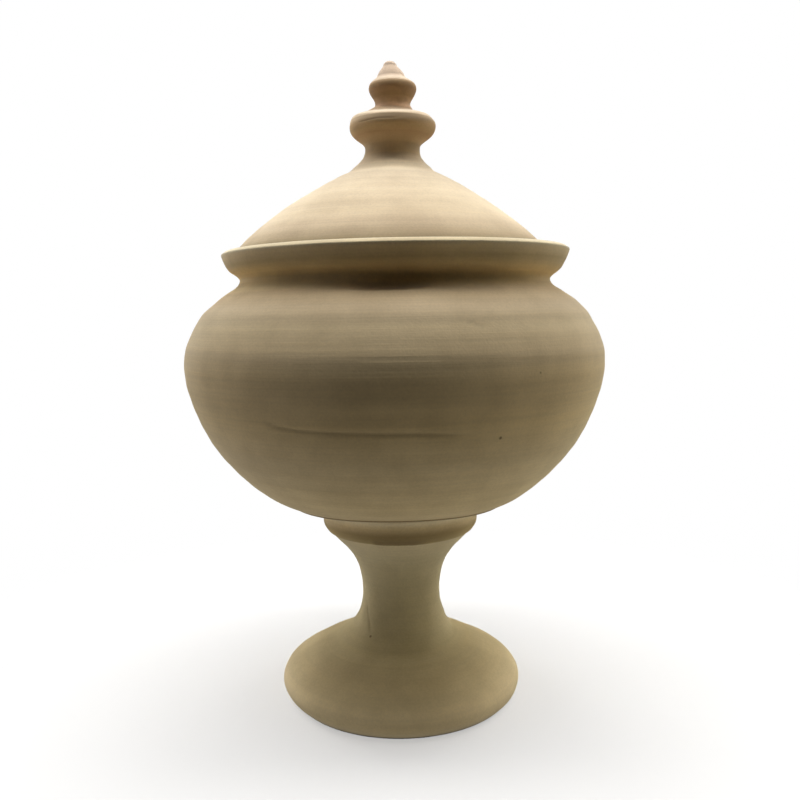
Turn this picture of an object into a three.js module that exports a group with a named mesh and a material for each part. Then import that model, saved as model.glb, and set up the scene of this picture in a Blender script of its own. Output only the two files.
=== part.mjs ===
// Lidded candy dish on a foot, thrown on a potter's wheel in cream clay and fired without glaze.
// Sizes in millimetres, +Z up. The foot stands on z = 0 and the wheel's axis is the Z axis.
import * as THREE from 'three';

// Foot and stem, thrown as one hollow trumpet
const footRadius = 48.3;
const footEdgeHeight = 7;
const footStandRadius = 44.3;
const footStandWidth = 6;
const waistRadius = 15.8;
const waistHeight = 42;
const stemWall = 6.2;
const stemHeight = 67.4;
const stemTopRadius = 28.6;
const jointBore = 11;

// Ring of clay laid round the joint of stem and bowl
const collarRadius = 31.9;
const collarHeight = 9.5;

// Bowl with its drawn-in neck and its flared rim, heights counted from the bowl's bottom
const bowlRadius = 81.5;
const bowlRise = 57.1;
const bowlBottomRadius = 29.6;
const neckRadius = 60.6;
const neckRise = 89.1;
const lipRadius = 67.1;
const lipRise = 99.6;
const lipThickness = 1.8;
const bowlWall = 5.4;
const bowlFloor = 7;

// Ledge inside the rim, on which the lid lies
const seatRise = 94.3;
const seatWidth = 7.4;

// Lid
const lidPlay = 0.9;
const lidRadius = 61;
const lidEdge = 3.4;
const lidHeight = 38.4;
const lidWall = 5.4;

// Knob and finial, one above the other on the lid
const knobFootRadius = 15.2;
const knobNeckRadius = 11.15;
const knobRadius = 17.1;
const knobHeight = 22.8;
const finialNeckRadius = 7.25;
const finialRadius = 9.5;
const finialHeight = 17.6;

// Sides of the turned shapes
const sides = 40;
const knobSides = 32;

// Heights that follow from the sizes above
const bowlBottom = stemHeight + collarHeight;
const seatHeight = bowlBottom + seatRise;
const lidTop = seatHeight + lidHeight;
const knobTop = lidTop + knobHeight;

function dot(radius, height) {
  return new THREE.Vector2(radius, height);
}

// Smooth line through the given points
function flow(steps, points) {
  return new THREE.SplineCurve(points).getPoints(steps);
}

// Points between two corners, each given as its share of the way across and of the way up
function between(from, to, shares) {
  return shares.map(([across, up]) => dot(
    from.x + (to.x - from.x) * across,
    from.y + (to.y - from.y) * up,
  ));
}

// The line moved inwards by the wall's thickness, from its far end back to its start
function inner(line, wall) {
  const moved = [];
  for (let i = line.length - 1; i >= 0; i -= 1) {
    const before = line[Math.max(i - 1, 0)];
    const after = line[Math.min(i + 1, line.length - 1)];
    const along = after.clone().sub(before).normalize();
    moved.push(dot(line[i].x - along.y * wall, line[i].y + along.x * wall));
  }
  return moved;
}

function turn(name, outline, count, color, roughness) {
  const shape = new THREE.LatheGeometry(outline, count);
  shape.rotateX(Math.PI / 2);
  const clay = new THREE.MeshStandardMaterial({ color, roughness, metalness: 0 });
  const mesh = new THREE.Mesh(shape, clay);
  mesh.name = name;
  return mesh;
}

// Foot: a rounded edge, a hollow flare up to the waist, and a second flare under the bowl
function footOutline() {
  const edge = dot(footRadius, footEdgeHeight);
  const waist = dot(waistRadius, waistHeight);
  const top = dot(stemTopRadius, stemHeight);
  const outside = flow(25, [
    dot(footStandRadius, 0),
    ...between(dot(footStandRadius, 0), edge, [[0.725, 0.486], [1, 1]]),
    ...between(edge, waist, [[0.043, 0.097], [0.145, 0.183], [0.292, 0.257], [0.532, 0.371],
      [0.748, 0.486], [0.883, 0.6], [0.948, 0.714], [0.988, 0.843], [1, 1]]),
    ...between(waist, top, [[0.047, 0.236], [0.188, 0.472], [0.477, 0.709], [0.758, 0.866], [1, 1]]),
  ]);
  const bore = dot(waistRadius - stemWall, waistHeight);
  const stand = dot(footStandRadius - footStandWidth, 0);
  const hollow = flow(13, [
    dot(jointBore, stemHeight),
    ...between(dot(jointBore, stemHeight), bore, [[0.3, 0.3], [0.8, 0.65]]),
    ...between(bore, stand, [[0, 0], [0.066, 0.333], [0.206, 0.512], [0.449, 0.648],
      [0.763, 0.767], [0.962, 0.893], [1, 1]]),
  ]);
  return [...outside, ...hollow, dot(footStandRadius, 0)];
}

// Collar: a bead that closes the joint
function collarOutline() {
  const widest = dot(collarRadius, stemHeight + collarHeight * 0.52);
  const bead = flow(8, [
    dot(stemTopRadius - 0.4, stemHeight),
    ...between(dot(stemTopRadius - 0.4, stemHeight), widest, [[0.65, 0.3], [0.95, 0.72], [1, 1]]),
    dot(collarRadius - 0.4, stemHeight + collarHeight * 0.84),
    dot(collarRadius - 0.9, bowlBottom),
  ]);
  return [dot(jointBore, stemHeight), ...bead, dot(jointBore, bowlBottom), dot(jointBore, stemHeight)];
}

// Bowl: the wall swells from its turned bottom, draws in to the neck and flares to the lip
function bowlOutline() {
  const bottom = dot(bowlBottomRadius, bowlBottom);
  const widest = dot(bowlRadius, bowlBottom + bowlRise);
  const neck = dot(neckRadius, bowlBottom + neckRise);
  const lip = dot(lipRadius, bowlBottom + lipRise);
  const outside = flow(31, [
    bottom,
    ...between(bottom, widest, [[0.181, 0.03], [0.366, 0.089], [0.532, 0.194], [0.69, 0.335],
      [0.807, 0.475], [0.888, 0.615], [0.95, 0.764], [0.988, 0.895], [1, 1]]),
    ...between(widest, neck, [[0.015, 0.156], [0.078, 0.3], [0.199, 0.469], [0.335, 0.613],
      [0.495, 0.716], [0.69, 0.819], [0.852, 0.881], [0.96, 0.938], [1, 1]]),
    ...between(neck, lip, [[0.21, 0.171], [0.597, 0.362], [0.806, 0.571], [0.952, 0.79], [1, 0.952]]),
  ]);
  const seatOuter = lidRadius + lidPlay;
  const seatInner = seatOuter - seatWidth;
  const wall = outside.filter((point, i) => i > 3 && i < 24 && i % 2 === 0);
  const inside = inner(wall, bowlWall);
  const floor = flow(4, [
    inside[inside.length - 1],
    dot(bowlBottomRadius, bowlBottom + bowlFloor * 1.12),
    dot(0, bowlBottom + bowlFloor),
  ]);
  return [
    dot(0, bowlBottom),
    ...outside,
    dot(lipRadius - lipThickness * 0.4, lip.y),
    dot(lipRadius - lipThickness, lip.y - 0.2),
    dot(seatOuter, seatHeight),
    dot(seatInner, seatHeight),
    dot(seatInner, neck.y),
    ...inside,
    ...floor.slice(1),
  ];
}

// Lid: a dome with a flat top for the knob and a flat edge that lies on the ledge
function lidOutline() {
  const low = dot(lidRadius, seatHeight + lidEdge);
  const high = dot(knobFootRadius, lidTop);
  const dome = flow(14, between(low, high, [[0, 0], [0.026, 0.074], [0.083, 0.16], [0.222, 0.326],
    [0.333, 0.44], [0.448, 0.554], [0.581, 0.669], [0.73, 0.783], [0.886, 0.894], [0.963, 0.951], [1, 1]]));
  const shell = dome.filter((point, i) => i > 1 && i < 13 && i % 2 === 0);
  return [
    dot(0, lidTop - lidWall * 1.35),
    ...inner(shell, lidWall),
    dot(lidRadius - lidWall, seatHeight),
    dot(lidRadius, seatHeight),
    ...dome,
    dot(0, lidTop),
  ];
}

// Knob: a waisted neck under a thick rounded disc
function knobOutline() {
  const foot = dot(knobFootRadius, lidTop);
  const neck = dot(knobNeckRadius, lidTop + knobHeight * 0.281);
  const disc = dot(knobRadius, lidTop + knobHeight * 0.671);
  const top = dot(finialNeckRadius + 0.25, knobTop);
  const outside = flow(16, [
    ...between(foot, neck, [[0, 0], [0.57, 0.34], [0.89, 0.69], [1, 1]]),
    ...between(neck, disc, [[0.025, 0.2], [0.18, 0.37], [0.58, 0.56], [0.866, 0.76], [1, 1]]),
    ...between(disc, top, [[0.03, 0.227], [0.15, 0.44], [0.46, 0.64], [0.86, 0.79], [1, 1]]),
  ]);
  return [dot(0, lidTop), ...outside, dot(0, knobTop)];
}

// Finial: a small pear with a blunt tip
function finialOutline() {
  const foot = dot(finialNeckRadius + 0.25, knobTop);
  const widest = dot(finialRadius, knobTop + finialHeight * 0.432);
  const tip = dot(0, knobTop + finialHeight);
  const outside = flow(17, [
    foot,
    dot(finialNeckRadius, knobTop + finialHeight * 0.08),
    ...between(foot, widest, [[0.1, 0.37], [0.6, 0.58], [0.95, 0.816], [1, 1]]),
    ...between(widest, tip, [[0.045, 0.13], [0.19, 0.24], [0.37, 0.35], [0.465, 0.48], [0.56, 0.62],
      [0.63, 0.74], [0.675, 0.84], [0.78, 0.95], [1, 1]]),
  ]);
  return [dot(0, knobTop), ...outside];
}

const dish = new THREE.Group();
dish.name = 'candy_dish';
dish.add(turn('pedestal_foot', footOutline(), sides, 0xd3c4a0, 0.92));
dish.add(turn('stem_collar', collarOutline(), sides, 0xd0bf9a, 0.92));
dish.add(turn('bowl', bowlOutline(), sides, 0xd9c9a6, 0.9));
dish.add(turn('lid', lidOutline(), sides, 0xe4d0ae, 0.9));
dish.add(turn('lid_knob', knobOutline(), knobSides, 0xddc6a3, 0.9));
dish.add(turn('knob_finial', finialOutline(), knobSides, 0xd6b592, 0.9));

export default dish;
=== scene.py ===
import math

import bmesh
import bpy
from mathutils import Matrix, Vector, geometry, noise


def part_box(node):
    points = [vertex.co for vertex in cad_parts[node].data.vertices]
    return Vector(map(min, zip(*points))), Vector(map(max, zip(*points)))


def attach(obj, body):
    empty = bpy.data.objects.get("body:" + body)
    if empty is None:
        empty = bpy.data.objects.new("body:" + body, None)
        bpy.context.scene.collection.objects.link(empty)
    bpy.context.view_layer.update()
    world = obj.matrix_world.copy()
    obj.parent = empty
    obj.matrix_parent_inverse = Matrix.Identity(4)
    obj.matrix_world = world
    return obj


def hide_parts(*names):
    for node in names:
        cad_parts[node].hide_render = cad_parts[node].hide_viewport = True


# Lidded candy dish on a foot, in unglazed clay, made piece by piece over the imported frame
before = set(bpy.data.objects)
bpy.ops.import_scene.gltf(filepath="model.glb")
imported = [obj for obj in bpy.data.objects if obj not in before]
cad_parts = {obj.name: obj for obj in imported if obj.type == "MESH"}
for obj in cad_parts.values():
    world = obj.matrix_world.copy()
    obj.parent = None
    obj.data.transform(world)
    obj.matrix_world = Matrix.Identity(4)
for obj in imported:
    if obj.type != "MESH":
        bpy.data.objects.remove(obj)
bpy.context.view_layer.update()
scene = bpy.context.scene
mm = 0.001  # outlines below are in millimetres, Blender works in metres
print("frame loaded with", len(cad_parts), "nodes")


# Lowest and highest point of a node in millimetres, for the heights where one piece meets the next
def heightsOf(node):
    return [round(corner[2] / mm, 3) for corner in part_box(node)]


stemTop = heightsOf("pedestal_foot")[1]
bowlBottom = heightsOf("bowl")[0]
ledge, lidTop = heightsOf("lid")
knobTop, tip = heightsOf("knob_finial")

# Camera: held a little above the bowl's middle and slightly turned, so the dish leans left
view = {
    "place": (1.8, -327.24, 153.31),  # mm
    "lookDown": 6.0, "roll": 1.0,     # degrees
    "lens": 36.9, "sensor": 36,       # mm, the picture is square
    "nearest": 10,                    # mm
}


def placeCamera(view):
    camera = bpy.data.objects.new("camera", bpy.data.cameras.new("camera"))
    camera.data.sensor_width = view["sensor"]
    camera.data.lens = view["lens"]
    camera.data.clip_start = view["nearest"] * mm
    turned = Matrix.Rotation(math.radians(90 - view["lookDown"]), 4, "X")
    rolled = Matrix.Rotation(math.radians(-view["roll"]), 4, "Z")
    place = Matrix.Translation(Vector(view["place"]) * mm)
    camera.matrix_world = place @ turned @ rolled
    scene.collection.objects.link(camera)
    scene.camera = camera


placeCamera(view)
print("camera placed")


def linearColour(hexText):
    channels = [int(hexText[i:i + 2], 16) / 255 for i in (1, 3, 5)]
    return [c / 12.92 if c <= 0.04045 else ((c + 0.055) / 1.055) ** 2.4 for c in channels] + [1]


def addNode(tree, kind, links=None, **settings):
    node = tree.nodes.new(kind)
    for name, value in settings.items():
        setattr(node, name, value)
    for socket, value in (links or {}).items():
        if isinstance(value, bpy.types.NodeSocket):
            tree.links.new(value, node.inputs[socket])
        else:
            node.inputs[socket].default_value = value
    return node


# What all pieces share in their surface. Lengths are in millimetres.
surface = {
    "lineLength": 70, "lineBump": 0.6,
    "bandLength": 160, "bandHeight": 11,
    "blotch": 18, "blotchSpan": (0.34, 0.66), "pale": (1.05, 1.05, 1.05, 1),
    "grit": 0.8, "gritTone": 0.04, "gritDepth": 0.08, "gritBump": 0.35,
    "speckGap": 16, "speckShare": 0.14, "speckCore": 0.24, "speckEdge": 0.56, "speckDark": 0.5,
    "spotCore": 0.4, "spotDark": 0.8,
    "speckAndShade": "#7d6543",
    "noiseSpan": (0.3, 0.7),  # the noise seldom leaves this span
    "roughness": (0.84, 0.96), "diffuseRoughness": 0.6, "ior": 1.5, "specular": 0.25,
}


# Patterns in their real sizes. Those of the wheel follow the wall and run round it.
def clayPatterns(tree, finish):
    place = addNode(tree, "ShaderNodeTexCoord").outputs["Object"]
    along = addNode(tree, "ShaderNodeAttribute", attribute_name="along").outputs["Fac"]
    apart = addNode(tree, "ShaderNodeSeparateXYZ", {0: place})
    turned = addNode(tree, "ShaderNodeCombineXYZ",
                     {0: apart.outputs[0], 1: apart.outputs[1], 2: along}).outputs[0]
    # lines of the wheel: about 1 mm apart up the wall and long round it
    lineRound, lineUp = 1 / (surface["lineLength"] * mm), 1 / (finish["lineGap"] * mm)
    lineSpace = addNode(tree, "ShaderNodeMapping",
                        {0: turned, "Scale": (lineRound, lineRound, lineUp)})
    lines = addNode(tree, "ShaderNodeTexNoise",
                    {0: lineSpace.outputs[0], "Scale": 1, "Detail": 3, "Roughness": 0.6})
    # bands of slip, the thin wet clay that the hands leave
    bandRound, bandUp = 1 / (surface["bandLength"] * mm), 1 / (surface["bandHeight"] * mm)
    bandSpace = addNode(tree, "ShaderNodeMapping",
                        {0: turned, "Scale": (bandRound, bandRound, bandUp)})
    bands = addNode(tree, "ShaderNodeTexNoise",
                    {0: bandSpace.outputs[0], "Scale": 1, "Detail": 2})
    # blotches where the clay dried unevenly, and grit, drawn a little coarse so that it shows
    blotches = addNode(tree, "ShaderNodeTexNoise",
                       {0: place, "Scale": 1 / (surface["blotch"] * mm), "Detail": 4,
                        "Roughness": 0.55})
    grit = addNode(tree, "ShaderNodeTexNoise",
                   {0: place, "Scale": 1 / (surface["grit"] * mm), "Detail": 2})
    return {"place": place, "height": apart.outputs[2], "lines": lines.outputs[0],
            "bands": bands.outputs[0], "blotches": blotches.outputs[0], "grit": grit.outputs[0]}


# Tones from the bottom of the piece to its top, partly the clay's own and partly painted light and
# shade, with wavy borders, under cloudy patches and the tones of lines, grit and slip
def clayToneAndShade(tree, finish, patterns):
    low, high, wave = finish["zones"][0][0], finish["zones"][-1][0], finish["wave"]
    wavy = addNode(tree, "ShaderNodeMath",
                   {0: patterns["bands"], 1: wave * mm, 2: patterns["height"]},
                   operation="MULTIPLY_ADD")
    height = addNode(tree, "ShaderNodeMapRange",
                     {0: wavy.outputs[0], 1: (low + wave / 2) * mm, 2: (high + wave / 2) * mm})
    zones = addNode(tree, "ShaderNodeValToRGB", {0: height.outputs[0]})
    while len(zones.color_ramp.elements) < len(finish["zones"]):
        zones.color_ramp.elements.new(0.5)
    for stop, (z, colour) in zip(zones.color_ramp.elements, finish["zones"]):
        stop.position = (z - low) / (high - low)
        stop.color = linearColour(colour)
    patchLow, patchHigh = surface["blotchSpan"]
    patch = addNode(tree, "ShaderNodeMapRange",
                    {0: patterns["blotches"], 1: patchLow, 2: patchHigh},
                    interpolation_type="SMOOTHSTEP")
    mottle = addNode(tree, "ShaderNodeMix",
                     {0: patch.outputs[0], 6: surface["pale"], 7: finish["mottle"] + [1]},
                     data_type="RGBA")
    tone = addNode(tree, "ShaderNodeVectorMath", {0: zones.outputs[0], 1: mottle.outputs[2]},
                   operation="MULTIPLY").outputs[0]
    noiseLow, noiseHigh = surface["noiseSpan"]
    spreads = {"lines": finish["lineTone"], "grit": surface["gritTone"], "bands": finish["slip"]}
    for name, spread in spreads.items():
        strength = addNode(tree, "ShaderNodeMapRange",
                           {0: patterns[name], 1: noiseLow, 2: noiseHigh,
                            3: 1 - spread, 4: 1 + spread})
        tone = addNode(tree, "ShaderNodeVectorMath", {0: tone, "Scale": strength.outputs[0]},
                       operation="SCALE").outputs[0]
    return tone


# How dark a place is: iron specks, sparse dots under 1 mm, then painted shade in scored lines, in
# the collar's seam, along the bowl's trimmed edge and on the knob's disc, and the specks that show
# plainly
def clayMarks(tree, finish, place):
    gap = surface["speckGap"]
    dots = addNode(tree, "ShaderNodeTexVoronoi", {0: place, "Scale": 1 / (gap * mm)})
    chosen = addNode(tree, "ShaderNodeSeparateColor", {0: dots.outputs["Color"]})
    rare = addNode(tree, "ShaderNodeMath", {0: chosen.outputs[0], 1: 1 - surface["speckShare"]},
                   operation="GREATER_THAN")
    dotTone = addNode(tree, "ShaderNodeMapRange",
                      {0: dots.outputs["Distance"], 1: surface["speckCore"] / gap,
                       2: surface["speckEdge"] / gap, 3: surface["speckDark"], 4: 0})
    dark = addNode(tree, "ShaderNodeMath", {0: rare.outputs[0], 1: dotTone.outputs[0]},
                   operation="MULTIPLY").outputs[0]
    marks = [addNode(tree, "ShaderNodeAttribute", attribute_name="paintedShade").outputs["Fac"]]
    for spot, size in finish.get("specks", []):
        away = addNode(tree, "ShaderNodeVectorMath", {0: place, 1: Vector(spot) * mm},
                       operation="DISTANCE").outputs["Value"]
        marks.append(addNode(tree, "ShaderNodeMapRange",
                             {0: away, 1: surface["spotCore"] * size * mm, 2: size * mm,
                              3: surface["spotDark"], 4: 0}).outputs[0])
    for mark in marks:
        dark = addNode(tree, "ShaderNodeMath", {0: dark, 1: mark}, operation="MAXIMUM").outputs[0]
    return dark


# Bisque: clay fired once and left unglazed. It gives a dry, chalky, fully matte cream with soft
# blotches, thin lines left by the turning wheel, fine grit and a few dark iron specks. Its tones by
# height and its dark marks also hold painted light and shade.
def bisqueClay(finish):
    material = bpy.data.materials.new(finish["material"])
    material.use_nodes = True
    tree = material.node_tree
    shader = tree.nodes["Principled BSDF"]
    patterns = clayPatterns(tree, finish)
    tone = clayToneAndShade(tree, finish, patterns)
    dark = clayMarks(tree, finish, patterns["place"])
    # the dark tone of the iron specks, also laid down as painted shade
    colour = addNode(tree, "ShaderNodeMix", {0: dark, 6: tone, 7: linearColour(surface["speckAndShade"])},
                     data_type="RGBA")
    tree.links.new(colour.outputs[2], shader.inputs["Base Color"])
    noiseLow, noiseHigh = surface["noiseSpan"]
    worn, coarse = surface["roughness"]
    rough = addNode(tree, "ShaderNodeMapRange",
                    {0: patterns["lines"], 1: noiseLow, 2: noiseHigh, 3: worn, 4: coarse})
    tree.links.new(rough.outputs[0], shader.inputs["Roughness"])
    gritBump = addNode(tree, "ShaderNodeBump",
                       {"Strength": surface["gritBump"], "Distance": surface["gritDepth"] * mm,
                        "Height": patterns["grit"]})
    lineBump = addNode(tree, "ShaderNodeBump",
                       {"Strength": surface["lineBump"], "Distance": finish["lineDepth"] * mm,
                        "Height": patterns["lines"], "Normal": gritBump.outputs[0]})
    tree.links.new(lineBump.outputs[0], shader.inputs["Normal"])
    shader.inputs["IOR"].default_value = surface["ior"]
    shader.inputs["Specular IOR Level"].default_value = surface["specular"]
    shader.inputs["Diffuse Roughness"].default_value = surface["diffuseRoughness"]
    return material


finePoints = 20     # points on each curve between two points of an outline
mergeWithin = 1e-6  # metres
tiny = 1e-9         # keeps a division from zero


# Even points on a smooth line through an outline's points
def smoothLine(points, step):
    knots = [Vector((r, 0, z)) for r, z in points]
    ways = [b - a for a, b in zip(knots, knots[1:])]
    slopes = []
    for i in range(len(knots)):
        before, after = ways[max(i - 1, 0)], ways[min(i, len(ways) - 1)]
        slopes.append((before.normalized() * after.length
                       + after.normalized() * before.length).normalized())
    fine = []
    for i, way in enumerate(ways):
        third = way.length / 3
        fine += geometry.interpolate_bezier(knots[i], knots[i] + slopes[i] * third,
                                            knots[i + 1] - slopes[i + 1] * third, knots[i + 1],
                                            finePoints)[:-1]
    fine.append(knots[-1])
    lengths = [0]
    for a, b in zip(fine, fine[1:]):
        lengths.append(lengths[-1] + (b - a).length)
    count = max(1, round(lengths[-1] / step))
    line, k = [], 0
    for i in range(count + 1):
        want = lengths[-1] * i / count
        while k < len(fine) - 2 and lengths[k + 1] < want:
            k += 1
        span = max(lengths[k + 1] - lengths[k], tiny)
        line.append(fine[k].lerp(fine[k + 1], min(1, (want - lengths[k]) / span)))
    return line


def ease(low, high, value):
    share = min(1, max(0, (value - low) / (high - low)))
    return share * share * (3 - 2 * share)


# How far the ring at a height stands off the axis: hands and wheel are never quite true
def leanAt(lean, height):
    for (z0, off0), (z1, off1) in zip(lean, lean[1:]):
        if height <= z1:
            return off0 + (off1 - off0) * ease(z0, z1, height)
    return lean[-1][1]


# Ridges of the fingers: a spiral with uneven patches, gone at the ends of each stretch of outline
fingers = {
    "spiral": 0.55, "uneven": 0.45,
    "patches": 14,       # for each metre across
    "patchHeight": 2.4,  # mm
    "fadeShare": 1 / 6,  # of the stretch, at each end
}


# Presses the ridges inwards, so that the piece never grows
def pressRidges(bm, ridgeGap):
    along = bm.verts.layers.float["along"]
    ridge = bm.verts.layers.float["ridge"]
    for vert in bm.verts:
        x, y, z = vert.co
        turn = math.atan2(y, x)
        spiral = 0.5 + 0.5 * math.sin(2 * math.pi * vert[along] / (ridgeGap * mm) + turn)
        spot = Vector((x * fingers["patches"], y * fingers["patches"],
                       vert[along] / (fingers["patchHeight"] * mm)))
        uneven = 0.5 + 0.5 * noise.noise(spot)
        depth = (fingers["spiral"] * spiral + fingers["uneven"] * uneven) * vert[ridge]
        vert.co -= vert.normal * depth * mm


# Turns an outline about the wheel's axis. It is made of stretches, each with (radius, height)
# points in millimetres, a step of its own and ridges of its own height.
def throwPiece(piece):
    bm = bmesh.new()
    along = bm.verts.layers.float.new("along")
    ridge = bm.verts.layers.float.new("ridge")
    bm.verts.layers.float.new("paintedShade")
    chain, travelled = [], 0
    for stretch in piece["outline"]:
        line = smoothLine(stretch["points"], stretch["step"])
        fadeCount = len(line) * fingers["fadeShare"]
        for i, point in enumerate(line):
            if chain and i == 0:
                continue
            if chain:
                travelled += (point * mm - chain[-1].co).length
            vert = bm.verts.new(point * mm)
            vert[along] = travelled
            fade = min(1, i / fadeCount, (len(line) - 1 - i) / fadeCount)
            vert[ridge] = stretch.get("ridge", 0) * fade
            chain.append(vert)
    for a, b in zip(chain, chain[1:]):
        bm.edges.new((a, b))
    if piece.get("ring"):
        bm.edges.new((chain[-1], chain[0]))
    bmesh.ops.spin(bm, geom=bm.verts[:] + bm.edges[:], cent=(0, 0, 0), axis=(0, 0, 1),
                   angle=2 * math.pi, steps=piece["sides"], use_merge=True)
    bmesh.ops.remove_doubles(bm, verts=bm.verts[:], dist=mergeWithin)
    bmesh.ops.recalc_face_normals(bm, faces=bm.faces[:])
    bm.normal_update()
    pressRidges(bm, piece["ridgeGap"])
    return bm


runOut = 0.2  # share of a scored line that fades out at each end


# Presses a thin line into the outside, given by angles round the wheel and heights, and paints
# shade into it
def scoreLine(bm, mark):
    paintedShade = bm.verts.layers.float["paintedShade"]
    path = [(math.radians(angle), z) for angle, z in mark["path"]]
    reach = 3 * mark["width"]
    lowest, highest = min(z for a, z in path) - reach, max(z for a, z in path) + reach
    for vert in bm.verts:
        x, y, z = vert.co / mm
        radius = math.hypot(x, y)
        if radius < mark["outside"] or not lowest < z < highest:
            continue
        turn = math.atan2(y, x)
        gap, share = math.inf, 0
        for i, ((a0, z0), (a1, z1)) in enumerate(zip(path, path[1:])):
            here = Vector(((turn - a0) * radius, z - z0))
            way = Vector(((a1 - a0) * radius, z1 - z0))
            part = min(1, max(0, here.dot(way) / way.length_squared))
            if (here - way * part).length < gap:
                gap, share = (here - way * part).length, (i + part) / (len(path) - 1)
        press = math.exp(-(gap / mark["width"]) ** 2)
        press *= ease(0, runOut, share) * ease(0, runOut, 1 - share)
        vert.co -= vert.normal * mark["depth"] * press * mm
        # painted shade in the groove
        vert[paintedShade] = max(vert[paintedShade], mark["dark"] * press)


sharpAngle = math.radians(38)  # edges that turn more than this stay crisp


# Leans the piece, keeps its edges crisp, gives it its clay and ties it to the frame
def finishPiece(bm, piece):
    if "lean" in piece:
        for vert in bm.verts:
            vert.co.x += leanAt(piece["lean"], vert.co.z / mm) * mm
    bm.normal_update()
    for face in bm.faces:
        face.smooth = True
    for edge in bm.edges:
        edge.smooth = edge.calc_face_angle(0) < sharpAngle
    mesh = bpy.data.meshes.new(piece["name"])
    bm.to_mesh(mesh)
    bm.free()
    obj = bpy.data.objects.new(piece["name"], mesh)
    scene.collection.objects.link(obj)
    mesh.materials.append(bisqueClay(piece["finish"]))
    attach(obj, piece["body"])
    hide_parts(piece["node"])
    print(piece["name"], "made with", len(mesh.polygons), "faces")


# Foot with its stem: a hollow trumpet that flares to the table and again under the bowl
foot = {
    "name": "thrown_foot", "node": "pedestal_foot", "body": "dish_body", "slot": "foot_clay",
    "sides": 256, "ring": True, "ridgeGap": 6.5,
    "outline": [
        {"points": [(38.3, 0), (44.3, 0)], "step": 2},
        {"points": [(44.3, 0), (47.2, 3.2), (48.2, 7), (46.7, 10.4), (43.4, 13.5), (38.7, 16.2),
                    (31.3, 20.3), (24.5, 23.3), (19.8, 27.4), (17.5, 31.8), (16.1, 36.5),
                    (15.7, 42), (16.3, 48), (18, 54), (21.7, 60), (25.4, 64), (28.6, stemTop)],
         "step": 0.7, "ridge": 0.08},
        {"points": [(28.6, stemTop), (11, stemTop)], "step": 6},
        {"points": [(11, stemTop), (10.6, 59.8), (9.9, 50.9), (9.6, 42), (11.5, 28), (15.5, 20.5),
                    (22.5, 14.8), (31.5, 9.8), (37.2, 4.5), (38.3, 0)], "step": 1.4, "ridge": 0.45},
    ],
    "lean": [(0, 0.9), (7, 0.3), (13, -0.2), (18, -0.6), (24, -0.7), (28, 0.5), (32, 0.9),
             (stemTop, 1.1)],
    "sag": {"drop": 0.5, "from": (8, 14), "to": (24, 30)},
    "scratch": {"path": [(-150, 38), (-146, 35), (-137, 31.5), (-126.5, 27)], "width": 0.45,
                "depth": 0.22, "dark": 0.35, "outside": 14},
    "finish": {"material": "cream bisque clay, foot",
               # tones by height, partly painted light and shade: darkest where it stands, lighter
               # round its edge, darker on the flare under the bowl
               "zones": [(0, "#c4b18c"), (4, "#e6d09f"), (9, "#f0dbaa"), (13, "#e1ce9e"),
                         (17, "#dbc897"), (24, "#d0c090"), (45, "#d8c899"), (60, "#e0d0a3"),
                         (stemTop, "#e5d3a6")],
               "wave": 4, "mottle": [0.95, 0.94, 0.92], "slip": 0.025,
               "lineGap": 1.2, "lineTone": 0.025, "lineDepth": 0.08,
               "specks": [((-11.4, -15.9, 27.2), 0.7)]},
}


# The flare of the foot sinks a little at the back
def sagFoot(bm, sag):
    for vert in bm.verts:
        x, y, z = vert.co / mm
        if y > 0:
            share = ease(*sag["from"], z) * (1 - ease(*sag["to"], z))
            vert.co.z -= sag["drop"] * (y / math.hypot(x, y)) ** 2 * share * mm


bm = throwPiece(foot)
scoreLine(bm, foot["scratch"])
sagFoot(bm, foot["sag"])
finishPiece(bm, foot)

# Collar: a ring of clay round the joint of stem and bowl
collar = {
    "name": "collar_ring", "node": "stem_collar", "body": "dish_body", "slot": "collar_clay",
    "sides": 256, "ring": True, "ridgeGap": 4,
    "outline": [
        {"points": [(11, stemTop), (28.9, stemTop)], "step": 6},
        {"points": [(28.9, stemTop), (29.3, 67.7), (30, 68.6), (30.7, 69.8), (31, 71), (31, 72.4),
                    (31, 73.8), (31.3, 75.2), (31.7, 76.3), (31.5, bowlBottom)], "step": 0.25},
        {"points": [(31.5, bowlBottom), (11, bowlBottom)], "step": 6},
        {"points": [(11, bowlBottom), (11, stemTop)], "step": 3},
    ],
    "lean": [(stemTop, 1.1), (bowlBottom, 1.0)],
    "seam": {"from": -112, "to": -62, "fadeIn": 4, "fadeOut": 20, "outside": 27,
             "drop": 0.2, "below": 68.4, "ragScale": 0.9, "ragSlice": 3, "ragLeast": 0.3,
             "lift": 0.5, "liftHeights": (72, bowlBottom),
             "shade": 0.45, "shadeHeights": (69, 75), "shadeNarrow": 3,
             "edgeShade": 0.2, "edgeHeights": (68.6, 70.2)},
    "finish": {"material": "cream bisque clay, collar",
               # tones by height, painted light and shade: darker low down, lighter just under the
               # bowl
               "zones": [(stemTop, "#d4bd86"), (69.4, "#c9b179"), (71, "#c8b17b"),
                         (72.6, "#e2cd9b"), (74, "#efdcab"), (bowlBottom, "#f8ecca")],
               "wave": 0.2, "mottle": [0.96, 0.95, 0.93], "slip": 0.02,
               "lineGap": 0.9, "lineTone": 0.03, "lineDepth": 0.06},
}
narrowFront = 5  # power that keeps the climb of collar and bowl to their very front
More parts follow.
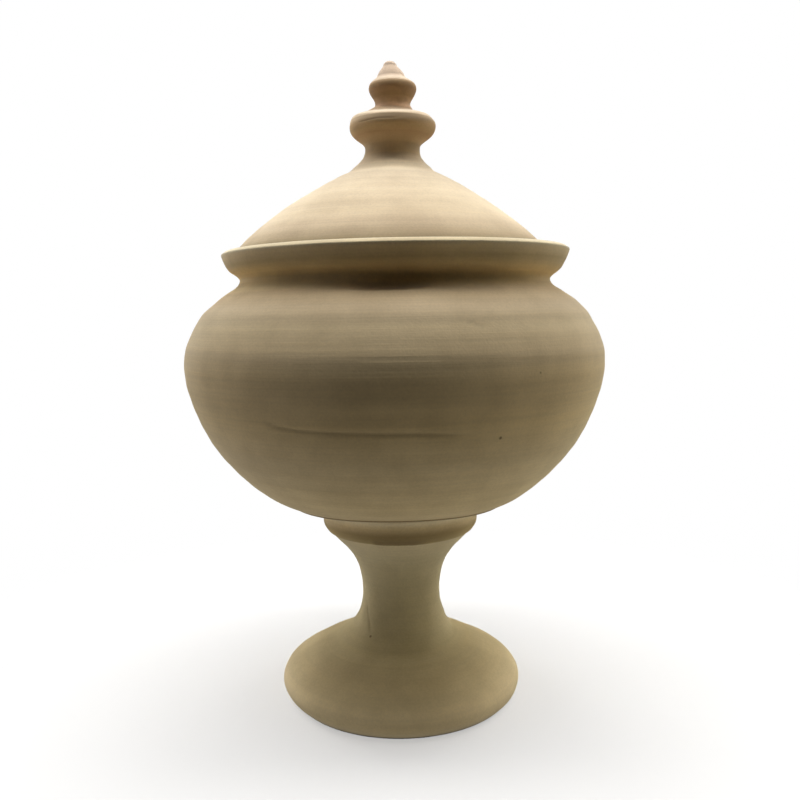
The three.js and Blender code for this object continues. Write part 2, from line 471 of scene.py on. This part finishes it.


# Ragged lower edge, where the ring was smeared over the stem in front and smoothed away elsewhere.
# Its top climbs a little in front, with the bowl's trimmed bottom. Painted shade darkens the ring's
# lower part in front and along the smeared edge.
def smearSeam(bm, seam):
    paintedShade = bm.verts.layers.float["paintedShade"]
    for vert in bm.verts:
        x, y, z = vert.co / mm
        radius = math.hypot(x, y)
        if radius < seam["outside"]:
            continue
        turn = math.degrees(math.atan2(y, x))
        inside = (ease(seam["from"], seam["from"] + seam["fadeIn"], turn)
                  * ease(-seam["to"], seam["fadeOut"] - seam["to"], -turn))
        spot = Vector((x * seam["ragScale"], y * seam["ragScale"], seam["ragSlice"]))
        rag = 0.5 + 0.5 * noise.noise(spot)
        if z < seam["below"]:
            ragged = seam["ragLeast"] + (1 - seam["ragLeast"]) * rag
            vert.co.z -= seam["drop"] * inside * ragged * mm
        ahead = max(0, -y / radius)
        vert.co.z += seam["lift"] * ahead ** narrowFront * ease(*seam["liftHeights"], z) * mm
        # painted shade, low down in front and along the smeared edge
        front = ahead ** seam["shadeNarrow"]
        vert[paintedShade] = (seam["shade"] * front * (1 - ease(*seam["shadeHeights"], z))
                        + seam["edgeShade"] * inside * (1 - ease(*seam["edgeHeights"], z)))


bm = throwPiece(collar)
smearSeam(bm, collar["seam"])
finishPiece(bm, collar)

# Bowl with its drawn-in neck, its flared rim and the ledge inside that the lid lies on
bowl = {
    "name": "thrown_bowl", "node": "bowl", "body": "dish_body", "slot": "bowl_clay",
    "sides": 256, "ridgeGap": 7.5,
    "outline": [
        {"points": [(0, bowlBottom), (29.6, bowlBottom)], "step": 8},
        {"points": [(29.6, bowlBottom), (36, 77.9), (42.5, 79.15)], "step": 1.2},
        {"points": [(42.5, 79.15), (43, 79.7)], "step": 0.25},
        {"points": [(43, 79.7), (45.6, 80.8), (48.4, 82.1), (57, 88), (65.1, 96), (71.3, 104),
                    (75.6, 112), (78.9, 120.5), (80.9, 128), (81.5, 134), (81.2, 139),
                    (79.9, 143.6), (77.3, 149), (74.5, 153.6), (71.2, 156.9), (67.3, 160),
                    (64.4, 162), (62, 163.5), (60.8, 164.8), (60.3, 166.4), (61.2, 167.6),
                    (63.2, 169.1), (64.3, 169.9), (65.5, 171.6), (66.5, 173.7), (67.2, 175.7)],
         "step": 0.62, "ridge": 0.14},
        {"points": [(67.2, 175.7), (67.2, 176.2), (66.7, 176.6), (65.2, 177.4), (64.6, 177.4),
                    (64.2, 176.9)], "step": 0.25},
        {"points": [(64.2, 176.9), (62.8, 174), (61.9, ledge)], "step": 0.8},
        {"points": [(61.9, ledge), (54.5, ledge)], "step": 1.2},
        {"points": [(54.5, ledge), (54.5, 166)], "step": 1.2},
        {"points": [(54.5, 166), (56.9, 161.6), (61.6, 158.2), (67.6, 153), (72.2, 147.2),
                    (75.2, 141), (76.1, 134), (75.1, 127), (71.8, 116.8), (66.8, 107), (61, 99.4),
                    (53.6, 92.6), (44.6, 87.4), (29.6, 84.7), (0, 83.9)],
         "step": 1.25, "ridge": 0.5},
    ],
    "rim": {"tilt": 0.2, "saddle": 0.4, "lipRadii": (62, 65.5), "lipHeights": (167, 172),
            "waves": 0.12, "waveScale": 0.045, "waveSlice": 9, "waveHeights": (173, 177),
            "lean": [(154, 0), (160, 0.35), (165, 0.6), (170, 1), (177, 1)],
            "seat": 170.5, "freeBelow": (58, 60), "freeAbove": (61.9, 64.2)},
    "neck": {"slope": 0.45, "slopeHeights": (156, 163), "radii": (57.5, 60), "top": (168, 172),
             "gouge": 0.9, "gougeAt": -3, "gougeWidth": 11, "gougeFoot": (160.6, 161.4),
             "gougeTop": (163.5, 165)},
    "trim": {"front": 0.6, "right": 0.6, "below": 88, "from": (29, 31.5), "to": (44, 58),
             "edgeBelow": 81, "edgeFrom": (42, 42.5), "edgeTo": (43, 43.3), "dark": 0.65},
    "slant": {"path": [(-124.5, 120.6), (-119.5, 118), (-112.9, 117), (-104.5, 116.6),
                       (-84.5, 116.2), (-71, 115.2)],
              "width": 0.65, "depth": 0.24, "dark": 0.35, "outside": 76},
    "wheelLine": {"path": [(-100, 140), (-91, 139.6), (-71, 138.9), (-45, 138)], "width": 0.4,
                  "depth": 0.07, "dark": 0, "outside": 79},
    "nick": {"path": [(-72.8, 150.9), (-70.5, 149.6), (-68.2, 148.6)], "width": 0.5, "depth": 0.15,
             "dark": 0.2, "outside": 74},
    "finish": {"material": "cream bisque clay, bowl",
               # tones by height, partly painted light and shade: darker at the bottom and on the
               # rim's outer face, lighter in the neck and on the lip
               "zones": [(77, "#d2b987"), (82, "#dac494"), (88, "#e8d19d"), (104, "#ecd5a2"),
                         (118, "#f1d79e"), (134, "#f3d9a4"), (140, "#e6cfa3"), (150, "#e0cca4"),
                         (156, "#d8c4a1"), (161, "#ddc499"), (164, "#f3dca6"), (167, "#e8d19b"),
                         (172, "#ceba8b"), (175, "#eed9a9"), (178, "#f7ebcd")],
               "wave": 4, "mottle": [0.95, 0.94, 0.92], "slip": 0.03,
               "lineGap": 1.1, "lineTone": 0.035, "lineDepth": 0.10,
               "specks": [((33.7, -68.3, 113.3), 0.75)]},
}


# The rim is a little higher at its sides, most at the right, and leans to the right. Its lip waves.
# The neck slopes the other way and has a tool mark at its foot in front. The bottom is trimmed
# higher in front and lower at the right, with a thin line of painted shade along its edge.
def settleBowl(bm, rim, neck, trim):
    paintedShade = bm.verts.layers.float["paintedShade"]
    for vert in bm.verts:
        x, y, z = vert.co / mm
        radius = math.hypot(x, y)
        across, ahead = (x / radius, -y / radius) if radius > 1 else (0, 0)
        lip = ease(*rim["lipRadii"], radius) * ease(*rim["lipHeights"], z)
        lift = lip * (rim["tilt"] * across + rim["saddle"] * across ** 2)
        wave = 0.5 + 0.5 * noise.noise(Vector((x, y, rim["waveSlice"])) * rim["waveScale"])
        lift -= lip * ease(*rim["waveHeights"], z) * rim["waves"] * wave
        onNeck = ease(*neck["radii"], radius) * (1 - ease(*neck["top"], z))
        lift -= onNeck * ease(*neck["slopeHeights"], z) * neck["slope"] * across
        if ahead > 0:
            tool = math.exp(-((x - neck["gougeAt"]) / neck["gougeWidth"]) ** 2)
            tool *= ease(*neck["gougeFoot"], z) * (1 - ease(*neck["gougeTop"], z))
            lift -= onNeck * neck["gouge"] * tool
        if z < trim["below"]:
            low = ease(*trim["from"], radius) * (1 - ease(*trim["to"], radius))
            lift += low * trim["front"] * max(0, ahead) ** narrowFront
            lift -= low * trim["right"] * max(0, across) ** 2
            if z < trim["edgeBelow"]:
                edge = ease(*trim["edgeFrom"], radius) * (1 - ease(*trim["edgeTo"], radius))
                vert[paintedShade] = trim["dark"] * edge
        # the ledge that the lid lies on stays true
        free = ease(*rim["freeBelow" if z < rim["seat"] else "freeAbove"], radius)
        vert.co.x += leanAt(rim["lean"], z) * free * mm
        vert.co.z += lift * mm


bm = throwPiece(bowl)
for mark in ("slant", "wheelLine", "nick"):
    scoreLine(bm, bowl[mark])
settleBowl(bm, bowl["rim"], bowl["neck"], bowl["trim"])
finishPiece(bm, bowl)

# Lid: a domed shell
lid = {
    "name": "thrown_lid", "node": "lid", "body": "lid_body", "slot": "lid_clay",
    "sides": 256, "ridgeGap": 6,
    "outline": [
        {"points": [(0, 202.3), (14, 201.9), (24.8, 197.4), (31.4, 193.6), (37.4, 189.6),
                    (42.5, 185.7), (47.3, 181.9), (51.4, 177.6), (54.2, 174.4), (55.6, ledge)],
         "step": 1.25, "ridge": 0.4},
        {"points": [(55.6, ledge), (61, ledge)], "step": 1.2},
        {"points": [(61, ledge), (61, 174.6)], "step": 0.6},
        {"points": [(61, 174.6), (59.9, 177.2), (57.4, 180.2), (51.1, 186), (46, 190), (40.6, 194),
                    (34.4, 198), (27.7, 202.1), (20.5, 206), (16.7, 207.9), (15, lidTop)],
         "step": 0.6, "ridge": 0.09},
        {"points": [(15, lidTop), (0, lidTop)], "step": 5},
    ],
    "lean": [(ledge, -0.7), (177, -1.1), (192, -1), (205, -0.2), (lidTop, 0.2)],
    "finish": {"material": "cream bisque clay, lid",
               # tones by height darken towards the ledge, painted shade where the lid sinks into
               # the rim
               "zones": [(171, "#b5a07d"), (177, "#ab9a79"), (180.5, "#dac6a4"), (184, "#ebd7b6"),
                         (188, "#f9e6c4"), (198, "#fae8c8"), (205, "#ebd9bb"), (lidTop, "#f6e3c1")],
               "wave": 2, "mottle": [0.95, 0.935, 0.92], "slip": 0.025,
               "lineGap": 0.9, "lineTone": 0.025, "lineDepth": 0.09},
}
bm = throwPiece(lid)
finishPiece(bm, lid)

# Knob: a waisted neck under a thick disc
knob = {
    "name": "turned_knob", "node": "lid_knob", "body": "lid_body", "slot": "knob_clay",
    "sides": 192, "ridgeGap": 4,
    "outline": [
        {"points": [(0, lidTop), (15, lidTop)], "step": 5},
        {"points": [(15, lidTop), (13.9, 210.5), (12.4, 212.1), (11.3, 213.6), (10.8, 215.1),
                    (10.65, 216.6), (10.8, 217.8), (11.6, 218.9), (13.1, 220.1), (14.6, 221.2),
                    (15.7, 222.3), (16.4, 223.5), (16.7, 224.9), (16.6, 226.1), (16.2, 227.2),
                    (15.7, 228)],
         "step": 0.36, "ridge": 0.05},
        {"points": [(15.7, 228), (14.9, 229), (13.3, 229.9), (11.2, 230.6), (8.8, 231.4),
                    (7.4, knobTop)], "step": 0.36},
        {"points": [(7.4, knobTop), (0, knobTop)], "step": 3},
    ],
    "lean": [(lidTop, 0.2), (218, 0.6), (226, 0.8), (229, 0.3), (231.4, 0.1), (knobTop, 0.8)],
    "press": {"depth": 1.4, "radii": (6, 8.5), "heights": (222, 228)},
    "discShade": {"dark": 0.75, "side": 8, "foot": (223.5, 226), "top": (227.1, 227.7)},
    "scratch": {"path": [(-148, 225.5), (-127, 225.8), (-110, 226.5), (-92, 226.4), (-80, 226.1)],
                "width": 0.38, "depth": 0.18, "dark": 0.9, "outside": 14},
    "finish": {"material": "cream bisque clay, knob",
               # tones by height: painted shade on the neck and under the disc, a painted highlight
               # on the disc's top
               "zones": [(lidTop, "#f7e2be"), (212.5, "#f7e2bd"), (214.5, "#e6cea4"),
                         (217, "#c4af8b"), (221, "#aa906e"), (223, "#b8a079"), (225, "#d6b88c"),
                         (226.6, "#eed4ad"), (227.4, "#ecd3ae"), (227.9, "#f6e2c2"),
                         (229.6, "#fae8ce"), (231.2, "#e6c9a4"), (knobTop, "#e0c29c")],
               "wave": 0.6, "mottle": [0.95, 0.93, 0.91], "slip": 0.02,
               "lineGap": 0.8, "lineTone": 0.04, "lineDepth": 0.06},
}
pressAndShadeNarrow = 1.5  # power that keeps the thumb's press and the painted shade on the disc to the front


# The disc and the foot of the finial are pressed down in front, as by a thumb
def pressFront(bm, press):
    for vert in bm.verts:
        x, y, z = vert.co / mm
        if y < 0:
            radius = math.hypot(x, y)
            share = ease(*press["radii"], radius) * ease(*press["heights"], z)
            vert.co.z -= press["depth"] * share * (-y / radius) ** pressAndShadeNarrow * mm


# Painted shade on the disc's edge in front, a little to the right
def paintDiscShade(bm, discShade):
    paintedShade = bm.verts.layers.float["paintedShade"]
    side = math.radians(discShade["side"])
    for vert in bm.verts:
        x, y, z = vert.co / mm
        if y < 0:
            facing = max(0, x * math.sin(side) - y * math.cos(side)) / math.hypot(x, y)
            share = ease(*discShade["foot"], z) * (1 - ease(*discShade["top"], z))
            vert[paintedShade] = max(vert[paintedShade], discShade["dark"] * facing ** pressAndShadeNarrow * share)


bm = throwPiece(knob)
scoreLine(bm, knob["scratch"])
pressFront(bm, knob["press"])
paintDiscShade(bm, knob["discShade"])
finishPiece(bm, knob)

# Finial: a small pear of a pinker clay
finial = {
    "name": "turned_finial", "node": "knob_finial", "body": "lid_body", "slot": "finial_clay",
    "sides": 160, "ridgeGap": 3,
    "outline": [
        {"points": [(0, knobTop), (7.3, knobTop)], "step": 3},
        {"points": [(7.3, knobTop), (6.8, 233.4), (7.05, 234.8), (7.9, 236.3), (8.75, 237.8),
                    (9.2, 239.2), (9.1, 240.3), (8.7, 241.2)], "step": 0.3, "ridge": 0.04},
        {"points": [(8.7, 241.2), (7.6, 242.2), (6.4, 243), (5.6, 243.8), (5.1, 244.8),
                    (4.5, 245.8), (3.7, 246.8), (2.75, 248), (2.35, 248.9), (1.6, 249.6),
                    (0, tip)], "step": 0.3},
    ],
    "press": {"depth": 1.4, "radii": (5, 6.5), "heights": (235, 232.6)},
    "lean": [(knobTop, 0.9), (236, 1.1), (240, 1), (244, 0.5), (tip, 0.1)],
    "finish": {"material": "pink bisque clay, finial",
               # tones by height: painted shade under its widest part, painted light on its top
               "zones": [(knobTop, "#f7d8b5"), (233.5, "#d2b38e"), (236, "#a48963"),
                         (238.5, "#b0906a"), (240, "#ba9a71"), (240.9, "#dfbf95"),
                         (241.5, "#fae6c9"), (243, "#fbe6cc"), (246, "#fbe4ca"),
                         (tip, "#fbe6cf")],
               "wave": 0.5, "mottle": [0.95, 0.93, 0.91], "slip": 0.02,
               "lineGap": 0.7, "lineTone": 0.04, "lineDepth": 0.05},
}
bm = throwPiece(finial)
pressFront(bm, finial["press"])
finishPiece(bm, finial)


# Floor: a plain pale sheet that fades into the backdrop, so thin that the backdrop lightens its
# shadow. Lengths are in millimetres.
floorLook = {
    "radius": 1200, "sides": 96, "fadeFrom": 100, "fadeTo": 260, "thin": 0.45,
    "colour": "#efeeec", "roughness": 0.9, "specular": 0.1,
}


def layFloor(look):
    bm = bmesh.new()
    bmesh.ops.create_circle(bm, cap_ends=True, segments=look["sides"], radius=look["radius"] * mm)
    mesh = bpy.data.meshes.new("floor")
    bm.to_mesh(mesh)
    bm.free()
    obj = bpy.data.objects.new("floor", mesh)
    scene.collection.objects.link(obj)
    material = bpy.data.materials.new("pale matte sheet")
    material.use_nodes = True
    tree = material.node_tree
    shader = tree.nodes["Principled BSDF"]
    shader.inputs["Base Color"].default_value = linearColour(look["colour"])
    shader.inputs["Roughness"].default_value = look["roughness"]
    shader.inputs["Specular IOR Level"].default_value = look["specular"]
    place = addNode(tree, "ShaderNodeTexCoord").outputs["Object"]
    away = addNode(tree, "ShaderNodeVectorMath", {0: place}, operation="LENGTH").outputs["Value"]
    gone = addNode(tree, "ShaderNodeMapRange",
                   {0: away, 1: look["fadeFrom"] * mm, 2: look["fadeTo"] * mm, 3: look["thin"]},
                   interpolation_type="SMOOTHSTEP")
    clear = addNode(tree, "ShaderNodeBsdfTransparent")
    sheet = addNode(tree, "ShaderNodeMixShader",
                    {0: gone.outputs[0], 1: shader.outputs[0], 2: clear.outputs[0]})
    tree.links.new(sheet.outputs[0], tree.nodes["Material Output"].inputs["Surface"])
    mesh.materials.append(material)
    obj.visible_diffuse = False  # the table's own lamps, further down, give its glow


layFloor(floorLook)

# Long soft strips overhead, boxes behind and at the sides, none in front, a table that glows softly
# and three small lamps that graze the foot. Lengths are in millimetres, spreads in degrees.
lamps = {
    "stripFront": {"place": (0, -150, 900), "aim": (0, -30, 150), "size": (900, 120),
                   "watts": 2.68},
    "stripMiddle": {"place": (0, 0, 900), "aim": (0, 0, 150), "size": (900, 120), "watts": 4.55},
    "stripBack": {"place": (0, 220, 900), "aim": (0, 40, 150), "size": (900, 160), "watts": 1.3},
    "behind": {"place": (0, 800, 450), "aim": (0, 0, 130), "size": (500, 500), "watts": 0.6},
    "backLeft": {"place": (-600, 500, 300), "aim": (0, 0, 130), "size": (400, 400), "watts": 2.8},
    "backRight": {"place": (600, 500, 300), "aim": (0, 0, 130), "size": (400, 400), "watts": 2.15},
    "left": {"place": (-800, 0, 300), "aim": (0, 0, 130), "size": (400, 400), "watts": 0.85,
             "colour": "#e5eaff"},
    "right": {"place": (800, 0, 300), "aim": (0, 0, 130), "size": (400, 400), "watts": 0.5},
    "highLeft": {"place": (-500, 0, 700), "aim": (0, 0, 150), "size": (400, 400), "watts": 0.6},
    "highRight": {"place": (500, 0, 700), "aim": (0, 0, 150), "size": (400, 400), "watts": 1.1},
    "tableLeft": {"place": (-250, 0, 0.5), "aim": (-250, 0, 100), "size": (300, 300),
                  "watts": 0.26, "colour": "#f0f0ff"},
    "tableRight": {"place": (250, 0, 0.5), "aim": (250, 0, 100), "size": (300, 300), "watts": 0.3},
    "lowRight": {"place": (200, -100, 25), "aim": (42, -18, 4), "size": (80, 40), "watts": 0.0015,
                 "spread": 30},
    "footLeft": {"place": (-420, 320, 120), "aim": (-28, 0, 22), "size": (120, 60),
                 "watts": 0.009, "spread": 18},
    "footRight": {"place": (420, 320, 120), "aim": (28, 0, 22), "size": (120, 60),
                  "watts": 0.007, "spread": 18},
    "tableFront": {"place": (0, -190, 0.5), "aim": (0, -190, 100), "size": (240, 240),
                   "watts": 0.055},
    "tableMiddle": {"place": (0, 0, 0.5), "aim": (0, 0, 100), "size": (200, 200), "watts": 0.045},
}
lampColour, lampSpread = "#ffffff", 180
backdropColour = "#ffffff"


def hangLamps(lamps):
    for name, lamp in lamps.items():
        light = bpy.data.lights.new(name, "AREA")
        light.shape = "RECTANGLE"
        light.size, light.size_y = lamp["size"][0] * mm, lamp["size"][1] * mm
        light.energy = lamp["watts"]
        light.spread = math.radians(lamp.get("spread", lampSpread))
        light.color = linearColour(lamp.get("colour", lampColour))[:3]
        obj = bpy.data.objects.new(name, light)
        obj.location = Vector(lamp["place"]) * mm
        aim = Vector(lamp["aim"]) * mm - obj.location
        obj.rotation_euler = aim.to_track_quat("-Z", "Y").to_euler()
        obj.visible_camera = False
        scene.collection.objects.link(obj)


# The backdrop is only seen: it lights nothing, the lamps do
def paintBackdrop(colour):
    world = bpy.data.worlds.new("studio")
    world.use_nodes = True
    scene.world = world
    tree = world.node_tree
    dark = tree.nodes["Background"]
    dark.inputs["Strength"].default_value = 0
    backdrop = addNode(tree, "ShaderNodeBackground", {"Color": linearColour(colour)})
    seen = addNode(tree, "ShaderNodeLightPath").outputs["Is Camera Ray"]
    mixed = addNode(tree, "ShaderNodeMixShader",
                    {0: seen, 1: dark.outputs[0], 2: backdrop.outputs[0]})
    tree.links.new(mixed.outputs[0], tree.nodes["World Output"].inputs["Surface"])


hangLamps(lamps)
paintBackdrop(backdropColour)
scene.view_settings.view_transform = "Standard"
print("floor, lamps and backdrop set")
